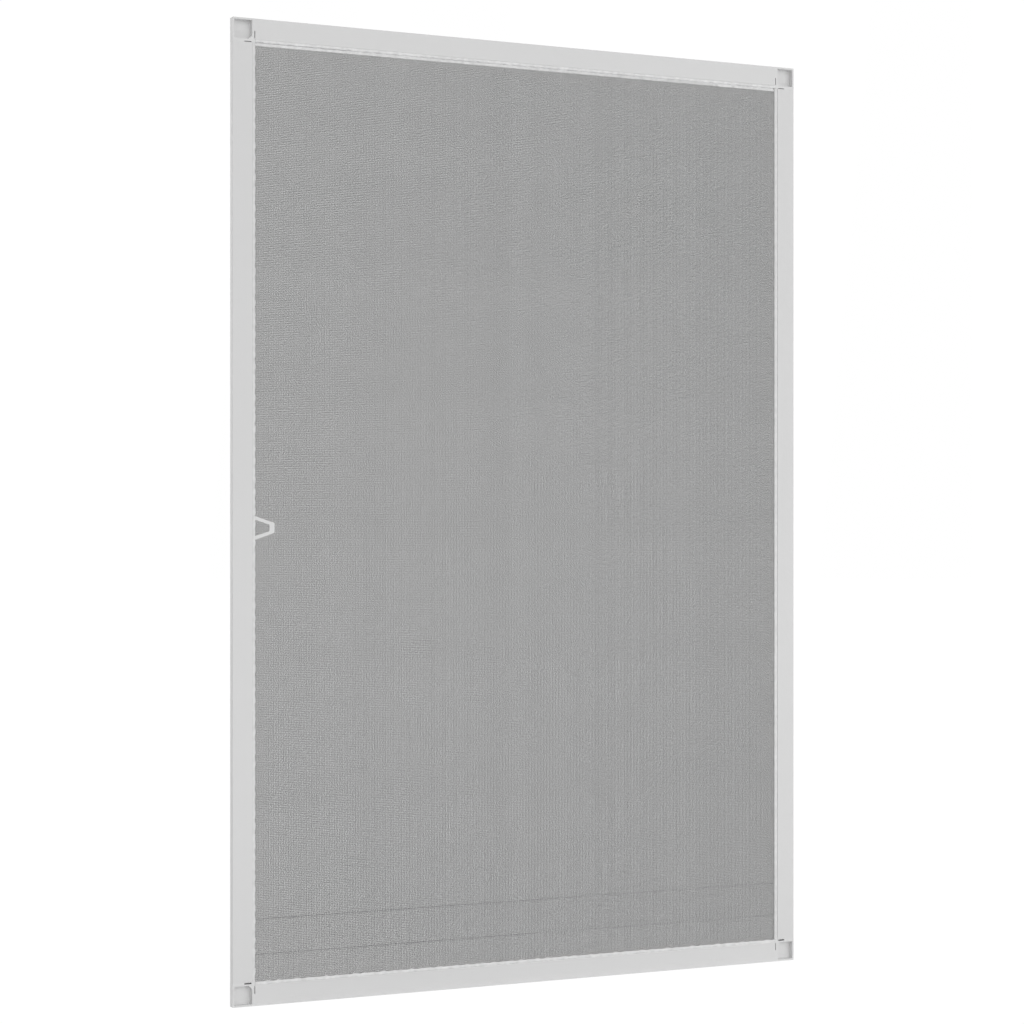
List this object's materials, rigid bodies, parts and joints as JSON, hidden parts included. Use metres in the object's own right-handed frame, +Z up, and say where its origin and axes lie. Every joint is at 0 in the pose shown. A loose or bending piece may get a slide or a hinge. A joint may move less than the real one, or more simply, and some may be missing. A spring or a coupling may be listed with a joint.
{
  "type": "window insect screen",
  "caption": "Upright window insect screen: hollow white bars plugged onto moulded corners, grey mesh held in grooves by spline, with a pull tab on one stile.",
  "frame": {"origin": "middle of the bottom edge, half way through the depth", "axes": "+X across the screen, +Y from the grooved face to the plain back, +Z up"},
  "size_m": [0.8, 0.0096, 1.2],
  "materials": {
    "frame_coating": "white powder coat, satin",
    "corner_plastic": "white moulded plastic",
    "spline_vinyl": "soft white vinyl",
    "tab_vinyl": "flexible white vinyl",
    "mesh_yarn": "grey coated glass yarn"
  },
  "bodies": {
    "root": {"left_stile": "frame_coating", "right_stile": "frame_coating", "top_rail": "frame_coating", "bottom_rail": "frame_coating", "corner_bottom_left": "corner_plastic", "corner_top_left": "corner_plastic", "corner_top_right": "corner_plastic", "corner_bottom_right": "corner_plastic", "insect_mesh": "mesh_yarn", "spline_left": "spline_vinyl", "spline_top": "spline_vinyl", "spline_right": "spline_vinyl", "spline_bottom": "spline_vinyl", "pull_tab": "tab_vinyl"}
  },
  "joints": []
}
